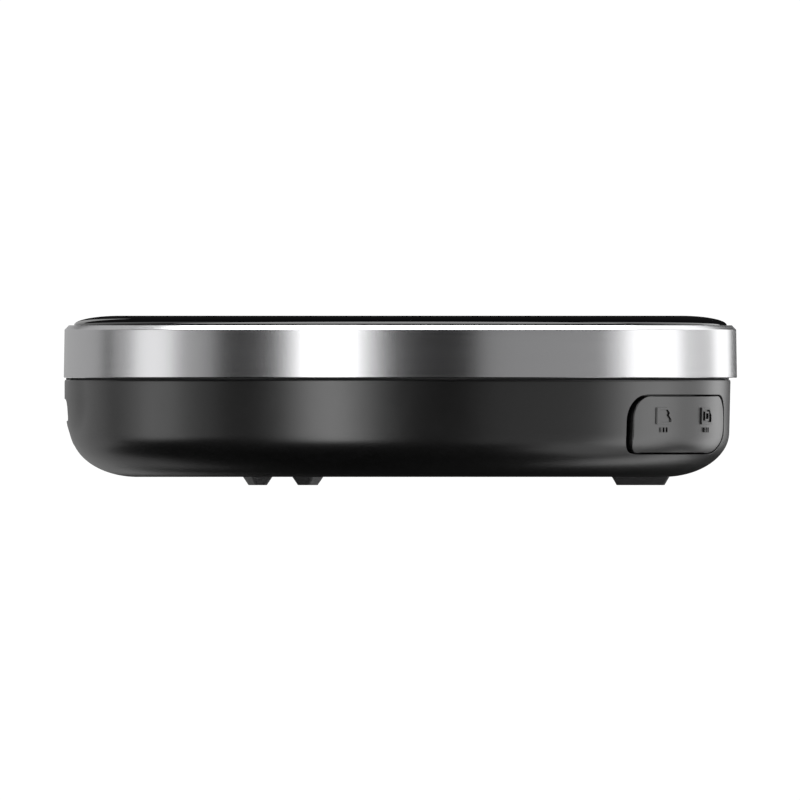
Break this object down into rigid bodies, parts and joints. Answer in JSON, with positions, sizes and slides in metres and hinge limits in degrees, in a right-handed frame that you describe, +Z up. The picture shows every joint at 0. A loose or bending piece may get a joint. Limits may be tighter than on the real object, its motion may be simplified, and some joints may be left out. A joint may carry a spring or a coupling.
{
  "type": "vehicle media box",
  "caption": "Round flat electronics box with a black glass top, metal trim ring, dark housing, hinged card flap, USB-C socket and small feet.",
  "frame": {"origin": "centre of the footprint, on the plane the feet stand on", "axes": "+Z up through the glass top; front is -Y, the card flap is to the front right, the USB-C socket is on -X"},
  "size_m": [0.088, 0.088, 0.0222],
  "materials": {
    "housing_plastic": "fine satin mould texture",
    "ring_aluminium": "turned and satin anodised, polished bevels",
    "black_glass": "glossy, black printed underneath",
    "black_rubber": "matte",
    "carrier_plastic": "matte moulded",
    "cast_aluminium": "fine cast",
    "board_laminate": "solder mask",
    "chip_resin": "moulded resin",
    "tinned_steel": "tinned sheet",
    "screw_steel": "zinc plated",
    "pad_silicone": "soft matte",
    "patch_ceramic": "fired ceramic",
    "antenna_film": "polyimide film",
    "lead_jacket": "extruded jacket",
    "card_plastic": "fine matte",
    "sim_plastic": "fine matte"
  },
  "bodies": {
    "housing": {"lower_housing": "housing_plastic", "trim_ring": "ring_aluminium", "glass_panel": "black_glass", "panel_gasket": "black_rubber", "inner_carrier": "carrier_plastic", "heat_spreader": "cast_aluminium", "thermal_pad": "pad_silicone", "main_board": "board_laminate", "processor_package": "chip_resin", "processor_shield": "tinned_steel", "memory_package": "chip_resin", "storage_package": "chip_resin", "power_controller": "chip_resin", "power_inductor": "chip_resin", "modem_shield": "tinned_steel", "wireless_shield": "tinned_steel", "navigation_antenna": "patch_ceramic", "antenna_film_back": "antenna_film", "antenna_film_front": "antenna_film", "antenna_lead_back": "lead_jacket", "antenna_lead_front": "lead_jacket", "usb_c_shell": "tinned_steel", "usb_c_tongue": "chip_resin", "memory_card_socket": "tinned_steel", "sim_card_socket": "tinned_steel", "housing_screw_1": "screw_steel", "housing_screw_2": "screw_steel", "housing_screw_3": "screw_steel", "spreader_screw_1": "screw_steel", "spreader_screw_2": "screw_steel", "spreader_screw_3": "screw_steel", "hinge_pin": "screw_steel", "foot_right": "black_rubber", "foot_front_left": "black_rubber", "foot_back_left": "black_rubber"},
    "flap": {"card_flap": "housing_plastic", "flap_seal": "black_rubber"},
    "memory_card": {"memory_card": "card_plastic"},
    "sim_card": {"sim_card": "sim_plastic"}
  },
  "joints": [
    {"name": "flap_hinge", "type": "hinge", "parent": "housing", "child": "flap", "pos_m": [0.04178, -0.00868, 0.008], "axis": [0, 0, 1], "range_deg": [0, 90]},
    {"name": "memory_card_slide", "type": "slide", "parent": "housing", "child": "memory_card", "axis": [0.8829, -0.4695, 0], "range_m": [-0.0005, 0.0016]},
    {"name": "sim_card_slide", "type": "slide", "parent": "housing", "child": "sim_card", "axis": [0.8829, -0.4695, 0], "range_m": [-0.0005, 0.0016]}
  ]
}
